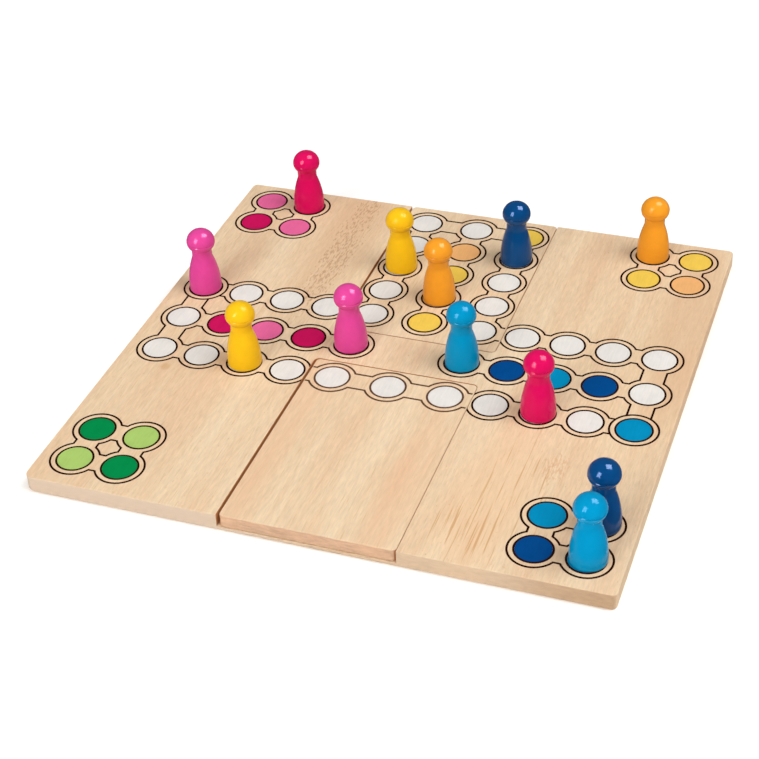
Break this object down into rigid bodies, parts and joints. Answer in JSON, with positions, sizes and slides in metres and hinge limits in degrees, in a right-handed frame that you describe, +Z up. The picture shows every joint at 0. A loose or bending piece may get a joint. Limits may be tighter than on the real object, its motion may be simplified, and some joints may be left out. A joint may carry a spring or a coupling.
{
  "type": "wooden ludo board game",
  "caption": "Square wooden ludo board with a printed spot track, reversible insert panels that slide out of open recesses, and glossy turned pawns that lift off.",
  "frame": {"origin": "middle of the board's flat underside", "axes": "+Z up through the board, -Y towards the front edge that faces the camera in the picture, +X to the right"},
  "size_m": [0.3, 0.3, 0.0479],
  "materials": {
    "board_wood": "clear satin lacquer on rubberwood",
    "insert_wood": "clear satin lacquer on rubberwood",
    "ink_dark": "screen-printed ink, satin",
    "ink_white": "screen-printed ink, satin",
    "ink_pink": "screen-printed ink, satin",
    "ink_magenta": "screen-printed ink, satin",
    "ink_yellow": "screen-printed ink, satin",
    "ink_orange": "screen-printed ink, satin",
    "ink_cyan": "screen-printed ink, satin",
    "ink_navy": "screen-printed ink, satin",
    "ink_light_green": "screen-printed ink, satin",
    "ink_green": "screen-printed ink, satin",
    "lacquer_pink": "glossy coloured lacquer on turned wood",
    "lacquer_magenta": "glossy coloured lacquer on turned wood",
    "lacquer_yellow": "glossy coloured lacquer on turned wood",
    "lacquer_orange": "glossy coloured lacquer on turned wood",
    "lacquer_cyan": "glossy coloured lacquer on turned wood",
    "lacquer_navy": "glossy coloured lacquer on turned wood"
  },
  "bodies": {
    "board": {"base_board": "board_wood", "outline_print": "ink_dark", "white_spots": "ink_white", "pink_spots": "ink_pink", "magenta_spots": "ink_magenta", "yellow_spots": "ink_yellow", "orange_spots": "ink_orange", "cyan_spots": "ink_cyan", "navy_spots": "ink_navy", "light_green_spots": "ink_light_green", "green_spots": "ink_green"},
    "back_insert": {"back_insert": "insert_wood", "back_outline_print": "ink_dark", "back_white_spots": "ink_white", "back_yellow_spots": "ink_yellow", "back_orange_spots": "ink_orange", "back_lower_outline_print": "ink_dark", "back_lower_white_spots": "ink_white"},
    "front_insert": {"front_insert": "insert_wood", "front_outline_print": "ink_dark", "front_white_spots": "ink_white", "front_lower_outline_print": "ink_dark", "front_lower_white_spots": "ink_white", "front_lower_light_green_spots": "ink_light_green", "front_lower_green_spots": "ink_green"},
    "pink_pawn_start": {"pink_pawn_start": "lacquer_pink"},
    "pink_pawn_goal": {"pink_pawn_goal": "lacquer_pink"},
    "magenta_pawn_home": {"magenta_pawn_home": "lacquer_magenta"},
    "magenta_pawn_track": {"magenta_pawn_track": "lacquer_magenta"},
    "yellow_pawn_left": {"yellow_pawn_left": "lacquer_yellow"},
    "yellow_pawn_back": {"yellow_pawn_back": "lacquer_yellow"},
    "orange_pawn_goal": {"orange_pawn_goal": "lacquer_orange"},
    "orange_pawn_home": {"orange_pawn_home": "lacquer_orange"},
    "cyan_pawn_goal": {"cyan_pawn_goal": "lacquer_cyan"},
    "cyan_pawn_home": {"cyan_pawn_home": "lacquer_cyan"},
    "navy_pawn_back": {"navy_pawn_back": "lacquer_navy"},
    "navy_pawn_home": {"navy_pawn_home": "lacquer_navy"}
  },
  "joints": [
    {"name": "back_insert_slide", "type": "slide", "parent": "board", "child": "back_insert", "axis": [0, 1, 0], "range_m": [0, 0.135]},
    {"name": "front_insert_slide", "type": "slide", "parent": "board", "child": "front_insert", "axis": [0, -1, 0], "range_m": [0, 0.135]},
    {"name": "pink_pawn_start_lift", "type": "slide", "parent": "board", "child": "pink_pawn_start", "axis": [0, 0, 1], "range_m": [0, 0.06]},
    {"name": "pink_pawn_goal_lift", "type": "slide", "parent": "board", "child": "pink_pawn_goal", "axis": [0, 0, 1], "range_m": [0, 0.06]},
    {"name": "magenta_pawn_home_lift", "type": "slide", "parent": "board", "child": "magenta_pawn_home", "axis": [0, 0, 1], "range_m": [0, 0.06]},
    {"name": "magenta_pawn_track_lift", "type": "slide", "parent": "board", "child": "magenta_pawn_track", "axis": [0, 0, 1], "range_m": [0, 0.06]},
    {"name": "yellow_pawn_left_lift", "type": "slide", "parent": "board", "child": "yellow_pawn_left", "axis": [0, 0, 1], "range_m": [0, 0.06]},
    {"name": "yellow_pawn_back_lift", "type": "slide", "parent": "back_insert", "child": "yellow_pawn_back", "axis": [0, 0, 1], "range_m": [0, 0.06]},
    {"name": "orange_pawn_goal_lift", "type": "slide", "parent": "back_insert", "child": "orange_pawn_goal", "axis": [0, 0, 1], "range_m": [0, 0.06]},
    {"name": "orange_pawn_home_lift", "type": "slide", "parent": "board", "child": "orange_pawn_home", "axis": [0, 0, 1], "range_m": [0, 0.06]},
    {"name": "cyan_pawn_goal_lift", "type": "slide", "parent": "board", "child": "cyan_pawn_goal", "axis": [0, 0, 1], "range_m": [0, 0.06]},
    {"name": "cyan_pawn_home_lift", "type": "slide", "parent": "board", "child": "cyan_pawn_home", "axis": [0, 0, 1], "range_m": [0, 0.06]},
    {"name": "navy_pawn_back_lift", "type": "slide", "parent": "back_insert", "child": "navy_pawn_back", "axis": [0, 0, 1], "range_m": [0, 0.06]},
    {"name": "navy_pawn_home_lift", "type": "slide", "parent": "board", "child": "navy_pawn_home", "axis": [0, 0, 1], "range_m": [0, 0.06]}
  ]
}
